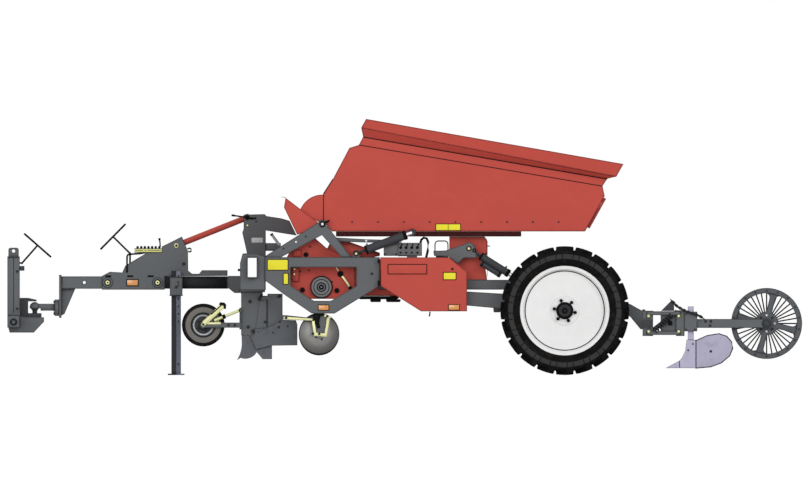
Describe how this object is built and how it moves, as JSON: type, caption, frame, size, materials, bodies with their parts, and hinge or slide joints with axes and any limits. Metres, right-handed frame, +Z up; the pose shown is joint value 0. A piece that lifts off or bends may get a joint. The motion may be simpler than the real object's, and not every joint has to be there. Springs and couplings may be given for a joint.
{
  "type": "trailed belt potato planter",
  "caption": "Trailed potato planter with a tipping seed hopper, furrow openers, closing discs, ridging bodies and cone-shaped cage rollers, parked on its jack.",
  "frame": {"origin": "centre of the machine's footprint on the floor, below the middle of its overall length and width", "axes": "+X to the rear along the direction of travel, +Y to the right side of the machine, +Z up; the drawbar points to -X"},
  "size_m": [7.6695, 3.3056, 2.472],
  "materials": {
    "frame_grey": "satin",
    "red_paint": "gloss",
    "dark_red_paint": "satin",
    "yellow_paint": "gloss",
    "zinc": "satin",
    "box_grey": "satin",
    "ridger_steel": "satin",
    "opener_steel": "satin",
    "tyre": "matt",
    "small_tyre": "matt",
    "rim_white": "gloss",
    "rod_chrome": "polished",
    "roller_steel": "satin",
    "disc_steel": "satin"
  },
  "bodies": {
    "frame": {"gooseneck": "frame_grey", "drawbar_cheeks": "frame_grey", "hose_carrier_rear": "frame_grey", "coupler_rack": "yellow_paint", "jack_sleeve": "frame_grey", "tower_brace": "red_paint", "tower": "frame_grey", "crossbeam": "frame_grey", "opener_legs": "frame_grey", "opener_linkages": "frame_grey", "furrow_openers": "opener_steel", "gauge_arms": "frame_grey", "gauge_depth_links": "zinc", "disc_arms": "zinc", "side_frames": "frame_grey", "hopper_supports": "frame_grey", "feed_tray": "red_paint", "planting_units": "red_paint", "side_covers": "red_paint", "rear_housing": "red_paint", "hydraulic_box": "box_grey", "main_rails": "frame_grey", "cross_tubes": "frame_grey", "cylinder_brackets": "frame_grey", "rear_toolbar": "frame_grey", "ridger_linkages": "frame_grey", "ridger_bodies": "ridger_steel", "roller_arms": "frame_grey"},
    "headstock": {"headstock": "frame_grey", "ball_seat": "frame_grey", "hose_carrier_front": "frame_grey"},
    "jack": {"jack_leg": "frame_grey"},
    "hopper": {"hopper": "red_paint", "hopper_rails": "dark_red_paint"},
    "wheel_arms": {"wheel_arms": "frame_grey"},
    "main_wheel_left": {"tyre_left": "tyre", "rim_left": "rim_white"},
    "main_wheel_right": {"tyre_right": "tyre", "rim_right": "rim_white"},
    "tip_barrels": {"tip_barrels": "frame_grey"},
    "tip_rods": {"tip_rods": "rod_chrome"},
    "lift_barrels": {"lift_barrels": "frame_grey"},
    "lift_rods": {"lift_rods": "rod_chrome"},
    "gauge_wheel_1": {"gauge_wheel_1": "small_tyre"},
    "gauge_wheel_2": {"gauge_wheel_2": "small_tyre"},
    "gauge_wheel_3": {"gauge_wheel_3": "small_tyre"},
    "gauge_wheel_4": {"gauge_wheel_4": "small_tyre"},
    "closing_disc_1": {"closing_disc_1": "disc_steel"},
    "closing_disc_2": {"closing_disc_2": "disc_steel"},
    "closing_disc_3": {"closing_disc_3": "disc_steel"},
    "closing_disc_4": {"closing_disc_4": "disc_steel"},
    "closing_disc_5": {"closing_disc_5": "disc_steel"},
    "closing_disc_6": {"closing_disc_6": "disc_steel"},
    "closing_disc_7": {"closing_disc_7": "disc_steel"},
    "closing_disc_8": {"closing_disc_8": "disc_steel"},
    "cage_roller_1": {"cage_roller_1": "roller_steel"},
    "cage_roller_2": {"cage_roller_2": "roller_steel"},
    "cage_roller_3": {"cage_roller_3": "roller_steel"},
    "cage_roller_4": {"cage_roller_4": "roller_steel"}
  },
  "joints": [
    {"name": "headstock_yaw", "type": "hinge", "parent": "frame", "child": "headstock", "pos_m": [-3.57, 0, 0.655], "axis": [0, 0, 1], "range_deg": [-60, 60]},
    {"name": "jack_slide", "type": "slide", "parent": "frame", "child": "jack", "axis": [0, 0, 1], "range_m": [0, 0.45]},
    {"name": "hopper_tip", "type": "hinge", "parent": "frame", "child": "hopper", "pos_m": [-0.795, 0, 1.457], "axis": [0, -1, 0], "range_deg": [0, 45]},
    {"name": "wheel_lift", "type": "hinge", "parent": "frame", "child": "wheel_arms", "pos_m": [0.24, 0, 0.725], "axis": [0, -1, 0], "range_deg": [0, 13]},
    {"name": "main_wheel_left_spin", "type": "hinge", "parent": "wheel_arms", "child": "main_wheel_left", "pos_m": [1.544, -1.5, 0.622], "axis": [0, 1, 0], "continuous": true},
    {"name": "main_wheel_right_spin", "type": "hinge", "parent": "wheel_arms", "child": "main_wheel_right", "pos_m": [1.544, 1.5, 0.622], "axis": [0, 1, 0], "continuous": true},
    {"name": "tip_barrels_swing", "type": "hinge", "parent": "frame", "child": "tip_barrels", "pos_m": [-0.469, 0, 1.172], "axis": [0, -1, 0], "range_deg": [0, 47.32]},
    {"name": "tip_rods_slide", "type": "slide", "parent": "tip_barrels", "child": "tip_rods", "axis": [0.9364, 0, 0.3509], "range_m": [0, 0.3308]},
    {"name": "lift_barrels_swing", "type": "hinge", "parent": "frame", "child": "lift_barrels", "pos_m": [0.619, 0, 1.221], "axis": [0, -1, 0], "range_deg": [0, 16.46]},
    {"name": "lift_rods_slide", "type": "slide", "parent": "lift_barrels", "child": "lift_rods", "axis": [0.846, 0, -0.5332], "range_m": [-0.1381, 0]},
    {"name": "gauge_wheel_1_spin", "type": "hinge", "parent": "frame", "child": "gauge_wheel_1", "pos_m": [-1.944, -1.125, 0.483], "axis": [0, 1, 0], "continuous": true},
    {"name": "gauge_wheel_2_spin", "type": "hinge", "parent": "frame", "child": "gauge_wheel_2", "pos_m": [-1.944, -0.375, 0.483], "axis": [0, 1, 0], "continuous": true},
    {"name": "gauge_wheel_3_spin", "type": "hinge", "parent": "frame", "child": "gauge_wheel_3", "pos_m": [-1.944, 0.375, 0.483], "axis": [0, 1, 0], "continuous": true},
    {"name": "gauge_wheel_4_spin", "type": "hinge", "parent": "frame", "child": "gauge_wheel_4", "pos_m": [-1.944, 1.125, 0.483], "axis": [0, 1, 0], "continuous": true},
    {"name": "closing_disc_1_spin", "type": "hinge", "parent": "frame", "child": "closing_disc_1", "pos_m": [-0.826, -1.315, 0.395], "axis": [0.309, -0.9511, 0], "continuous": true},
    {"name": "closing_disc_2_spin", "type": "hinge", "parent": "frame", "child": "closing_disc_2", "pos_m": [-0.826, -0.935, 0.395], "axis": [0.309, 0.9511, 0], "continuous": true},
    {"name": "closing_disc_3_spin", "type": "hinge", "parent": "frame", "child": "closing_disc_3", "pos_m": [-0.826, -0.565, 0.395], "axis": [0.309, -0.9511, 0], "continuous": true},
    {"name": "closing_disc_4_spin", "type": "hinge", "parent": "frame", "child": "closing_disc_4", "pos_m": [-0.826, -0.185, 0.395], "axis": [0.309, 0.9511, 0], "continuous": true},
    {"name": "closing_disc_5_spin", "type": "hinge", "parent": "frame", "child": "closing_disc_5", "pos_m": [-0.826, 0.185, 0.395], "axis": [0.309, -0.9511, 0], "continuous": true},
    {"name": "closing_disc_6_spin", "type": "hinge", "parent": "frame", "child": "closing_disc_6", "pos_m": [-0.826, 0.565, 0.395], "axis": [0.309, 0.9511, 0], "continuous": true},
    {"name": "closing_disc_7_spin", "type": "hinge", "parent": "frame", "child": "closing_disc_7", "pos_m": [-0.826, 0.935, 0.395], "axis": [0.309, -0.9511, 0], "continuous": true},
    {"name": "closing_disc_8_spin", "type": "hinge", "parent": "frame", "child": "closing_disc_8", "pos_m": [-0.826, 1.315, 0.395], "axis": [0.309, 0.9511, 0], "continuous": true},
    {"name": "cage_roller_1_spin", "type": "hinge", "parent": "frame", "child": "cage_roller_1", "pos_m": [3.492, -1.125, 0.498], "axis": [0, 1, 0], "continuous": true},
    {"name": "cage_roller_2_spin", "type": "hinge", "parent": "frame", "child": "cage_roller_2", "pos_m": [3.492, -0.375, 0.498], "axis": [0, 1, 0], "continuous": true},
    {"name": "cage_roller_3_spin", "type": "hinge", "parent": "frame", "child": "cage_roller_3", "pos_m": [3.492, 0.375, 0.498], "axis": [0, 1, 0], "continuous": true},
    {"name": "cage_roller_4_spin", "type": "hinge", "parent": "frame", "child": "cage_roller_4", "pos_m": [3.492, 1.125, 0.498], "axis": [0, 1, 0], "continuous": true}
  ],
  "couplings": [
    {"joint": "tip_barrels_swing", "follows": "hopper_tip", "ratio": 1.047},
    {"joint": "tip_rods_slide", "follows": "hopper_tip", "m_per_rad": 0.4206},
    {"joint": "lift_barrels_swing", "follows": "wheel_lift", "ratio": 1.251},
    {"joint": "lift_rods_slide", "follows": "wheel_lift", "m_per_rad": -0.60645}
  ]
}
